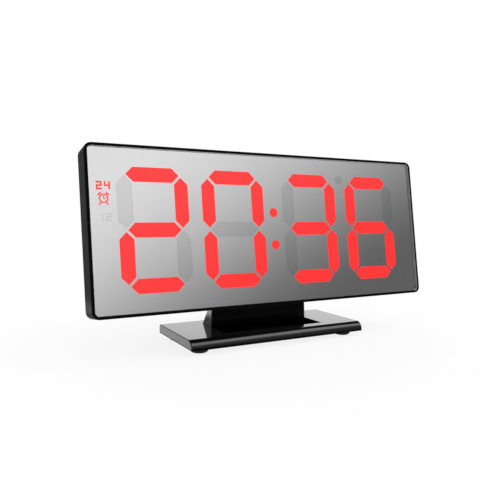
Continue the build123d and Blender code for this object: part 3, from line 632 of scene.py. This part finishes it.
def numeral(digit, x, width, height, stroke):
    """Outlines of one plain numeral, drawn with the strokes of a seven part display."""
    reach = stroke / 2
    left, right = x - width / 2 + reach, x + width / 2 - reach
    top, low = height / 2 - reach, -height / 2 + reach
    strokes = {
        "top": ((left - reach, top), (right + reach, top)),
        "upper_right": ((right, top - reach), (right, reach)),
        "middle": ((left - reach, 0), (right + reach, 0)),
        "lower_left": ((left, -reach), (left, low + reach)),
        "foot": ((left - reach, low), (right + reach, low)),
        "upper_left": ((left, top + reach), (left, reach)),
        "crossbar": ((left - reach, 0), (right - reach, 0)),
        "right": ((right, top + reach), (right, low - reach)),
    }
    return [bar(*strokes[name], stroke) for name in NUMERAL_STROKES[digit]]


def number_sign(number, size):
    """Outlines of a short plain number."""
    outlines = []
    for index, digit in enumerate(number):
        x = (index - (len(number) - 1) / 2) * NUMERAL_PITCH * size
        outlines += numeral(digit, x, NUMERAL_WIDTH * size, size, NUMERAL_STROKE * size)
    return outlines


flat_sign("hours_sign", number_sign("24", SIGN_SIZE), SIGN_X, HOURS_SIGN_Y, "red_light")
flat_sign("alarm_sign", alarm_sign(ALARM_SIGN_SIZE), SIGN_X, ALARM_SIGN_Y, "red_light")
flat_sign("half_day_sign", number_sign("12", SIGN_SIZE), SIGN_X, HALF_DAY_SIGN_Y, "unlit_segment")


# Studio: white sweep, one soft box above, and cards that only shiny surfaces see

AMBIENT_LEVEL = 0.72
CEILING_LEVEL = 0.06
CEILING_FADE = (0.38, 0.47)
FLOOR_TONE = 0.9
FLOOR_REACH = 12.0
FLOOR_WHITENESS = (0.85, 1.0)
FLOOR_FADE = (0.06, 0.16)
# Straight up, but for a trace that keeps a card's level edge defined
ALMOST_UP = Vector((0, 0.0001, 1))
# The card that the mirror shows
FACE_CENTRE = on_film(0, (film_high.z - film_low.z) / 2, 0)
CARD_PLACE = FACE_CENTRE + Vector((0.50, -0.84, 0.22)).normalized() * 1.3
CARD_SIZE = (1.7, 0.84)
CARD_SKEW = 0.485
CARD_FADE = (-0.33, 0.45)
CARD_LEVELS = (0.14, 0.92)
CARD_SIDE_FADE = (0.55, 0.85)
CARD_TOP_FADE = (0.33, 0.42)
# Bright and dark cards that lie near the clock
LOW_CARDS = {
    "left_card": {"place": (-0.0595, 0.019, 0.001), "size": (0.017, 0.062), "level": 1.45},
    "neck_flag": {"place": (-0.046, 0.05, 0.0005), "size": (0.032, 0.056), "level": 0.03},
    "neck_card": {"place": (-0.085, 0.112, 0.001), "size": (0.09, 0.066), "level": 3.4},
    "low_flag": {"place": (0.035, -0.08, 0.001), "size": (0.17, 0.1), "level": 0.02},
}
BACK_CARD_PLACE = Vector((0.6, 1.1, 0.26))
BACK_CARD_TARGET = Vector((0, 0, 0.01))
BACK_CARD_SIZE = (1.0, 0.48)
BACK_CARD_LEVEL = 1.5
SOFT_BOX_PLACE = Vector((0.5, -0.45, 0.75))
SOFT_BOX_TARGET = Vector((0, 0, 0.04))
SOFT_BOX_SIZE = (0.8, 0.5)
SOFT_BOX_POWER = 3.8


def turned_to(direction):
    """Rotation whose Z looks along a direction, with X level."""
    look = direction.normalized()
    level = UPRIGHT.cross(look).normalized()
    return Matrix((level, look.cross(level), look)).transposed().to_4x4()


def seen_by_eye_or_shine(shader):
    """One for rays from the camera, from a shiny surface or through glass, and none for the rest."""
    path = shader.node("ShaderNodeLightPath")
    shine = shader.compute("MAXIMUM", path.outputs["Is Camera Ray"], path.outputs["Is Glossy Ray"])
    return shader.compute("MAXIMUM", shine, path.outputs["Is Transmission Ray"])


class WorldShader(Shader):
    """The same short ways for the world's nodes."""

    def __init__(self, name):
        world = bpy.data.worlds.new(name)
        world.use_nodes = True
        scene.world = world
        self.tree = world.node_tree
        self.output = self.tree.nodes["World Output"]
        self.background = self.tree.nodes["Background"]


class StudioShader(Shader):
    """A node material of the studio, without the principled shader."""

    def __init__(self, name):
        super().__init__(name)
        self.tree.nodes.remove(self.principled)


def make_world():
    """White for the eye, white low down and dim above for shine, an even grey for what is lit."""
    world = WorldShader("studio")
    ambient = world.background
    ambient.inputs["Color"].default_value = (AMBIENT_LEVEL, AMBIENT_LEVEL, AMBIENT_LEVEL, 1)
    height = world.parts(world.node("ShaderNodeTexCoord").outputs["Generated"])["Z"]
    sweep = world.ramp(height, 1.0, CEILING_LEVEL, CEILING_FADE)
    eye = world.node("ShaderNodeLightPath").outputs["Is Camera Ray"]
    seen = world.node("ShaderNodeBackground")
    seen.inputs["Color"].default_value = (1, 1, 1, 1)
    world.link(world.compute("MAXIMUM", sweep, eye), seen.inputs["Strength"])
    world.blend(
        seen_by_eye_or_shine(world),
        ambient.outputs["Background"],
        seen.outputs["Background"],
    )


def plain_card(name, place, direction, size, material, shine_only=True, in_mirror=False):
    """Flat sheet of the studio that faces a direction. The mirror sees it through the clear lens."""
    mesh = bpy.data.meshes.new(name)
    u, v = size[0] / 2, size[1] / 2
    mesh.from_pydata([(-u, -v, 0), (u, -v, 0), (u, v, 0), (-u, v, 0)], [], [(0, 1, 2, 3)])
    mesh.materials.append(material)
    made = bpy.data.objects.new(name, mesh)
    made.matrix_world = Matrix.Translation(place) @ turned_to(direction)
    if shine_only:
        made.visible_camera = False
        made.visible_diffuse = False
        made.visible_shadow = False
        made.visible_transmission = in_mirror
    scene.collection.objects.link(made)


def floor_material():
    """Pale floor that keeps the clock's shadow close by and runs out to white."""
    shader = StudioShader("floor")
    diffuse = shader.node("ShaderNodeBsdfDiffuse")
    diffuse.inputs["Color"].default_value = (FLOOR_TONE, FLOOR_TONE, FLOOR_TONE, 1)
    white = shader.node("ShaderNodeEmission")
    distance = shader.node("ShaderNodeVectorMath", operation="LENGTH")
    shader.link(shader.coords(), distance.inputs[0])
    fade = shader.ramp(distance.outputs["Value"], *FLOOR_WHITENESS, FLOOR_FADE)
    share = shader.compute("MULTIPLY", fade, seen_by_eye_or_shine(shader))
    shader.blend(share, diffuse.outputs["BSDF"], white.outputs["Emission"])
    return shader.material


def card_edge(shader, across, fade):
    """One on the middle of a card, running out to none at two opposite edges."""
    return shader.ramp(shader.compute("ABSOLUTE", across), 1, 0, fade, "SMOOTHSTEP")


def graded_card_material():
    """Light at the card's upper left, seen from the clock, dark at its lower right, with soft edges."""
    shader = StudioShader("graded_card")
    place = shader.parts(shader.coords())
    slope = shader.node("ShaderNodeMath", operation="MULTIPLY_ADD")
    slope.inputs[1].default_value = CARD_SKEW
    shader.link(place["X"], slope.inputs[0])
    shader.link(place["Y"], slope.inputs[2])
    glow = shader.node("ShaderNodeEmission")
    grade = shader.ramp(slope.outputs["Value"], *CARD_LEVELS, CARD_FADE, "SMOOTHSTEP")
    shader.link(grade, glow.inputs["Strength"])
    across = card_edge(shader, place["X"], CARD_SIDE_FADE)
    upward = card_edge(shader, place["Y"], CARD_TOP_FADE)
    clear = shader.node("ShaderNodeBsdfTransparent")
    shader.blend(
        shader.compute("MULTIPLY", across, upward),
        clear.outputs["BSDF"],
        glow.outputs["Emission"],
    )
    return shader.material


def glow_material(name, level):
    """Even light of one level."""
    shader = StudioShader(name)
    glow = shader.node("ShaderNodeEmission")
    glow.inputs["Strength"].default_value = level
    shader.show(glow.outputs["Emission"])
    return shader.material


def soft_box():
    """Area lamp that faces its target."""
    data = bpy.data.lights.new("soft_box", "AREA")
    data.shape = "RECTANGLE"
    data.size, data.size_y = SOFT_BOX_SIZE
    data.energy = SOFT_BOX_POWER
    made = bpy.data.objects.new("soft_box", data)
    made.matrix_world = Matrix.Translation(SOFT_BOX_PLACE) @ turned_to(SOFT_BOX_PLACE - SOFT_BOX_TARGET)
    made.visible_camera = False
    scene.collection.objects.link(made)


scene.view_settings.view_transform = "Standard"
make_camera()
make_world()
plain_card("floor", (0, 0, 0), ALMOST_UP, (FLOOR_REACH, FLOOR_REACH), floor_material(), shine_only=False)
plain_card(
    "graded_card", CARD_PLACE, FACE_CENTRE - CARD_PLACE, CARD_SIZE,
    graded_card_material(), in_mirror=True,
)
for name, card in LOW_CARDS.items():
    plain_card(name, card["place"], ALMOST_UP, card["size"], glow_material(name, card["level"]))
plain_card(
    "back_card", BACK_CARD_PLACE, BACK_CARD_TARGET - BACK_CARD_PLACE, BACK_CARD_SIZE,
    glow_material("back_card", BACK_CARD_LEVEL),
)
soft_box()
